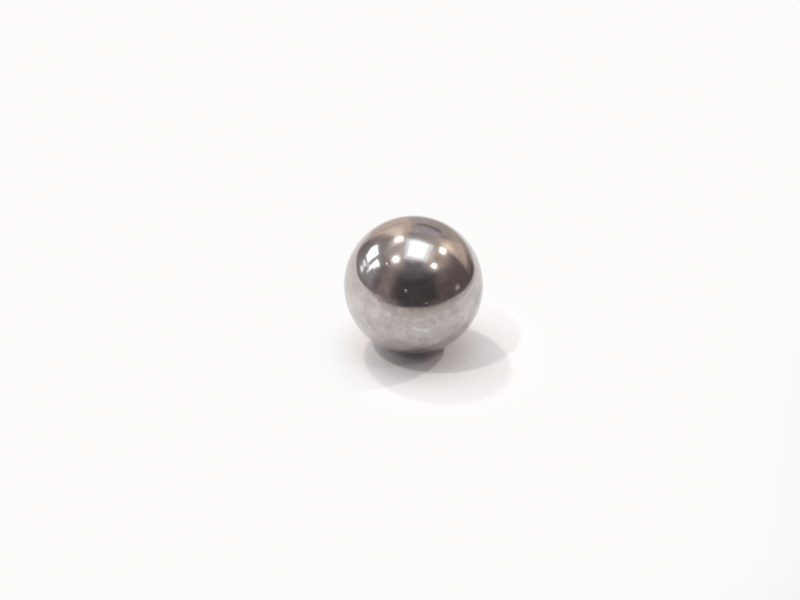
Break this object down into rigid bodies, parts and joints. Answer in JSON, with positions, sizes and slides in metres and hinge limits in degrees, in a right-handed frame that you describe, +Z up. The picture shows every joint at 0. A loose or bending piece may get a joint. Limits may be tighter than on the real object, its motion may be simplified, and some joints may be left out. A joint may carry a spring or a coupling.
{
  "type": "steel ball",
  "caption": "Solid mirror-polished steel ball, a plain sphere that rolls in a race or track, sits in a cup or socket, or serves as a small weight.",
  "frame": {"origin": "centre of the ball", "axes": "+Z up as the ball lies in the picture, +X to its right, +Y away from the camera; the ball itself has no preferred direction"},
  "size_m": [0.02, 0.02, 0.02],
  "materials": {
    "polished_steel": "polished"
  },
  "bodies": {
    "root": {"ball": "polished_steel"}
  },
  "joints": []
}
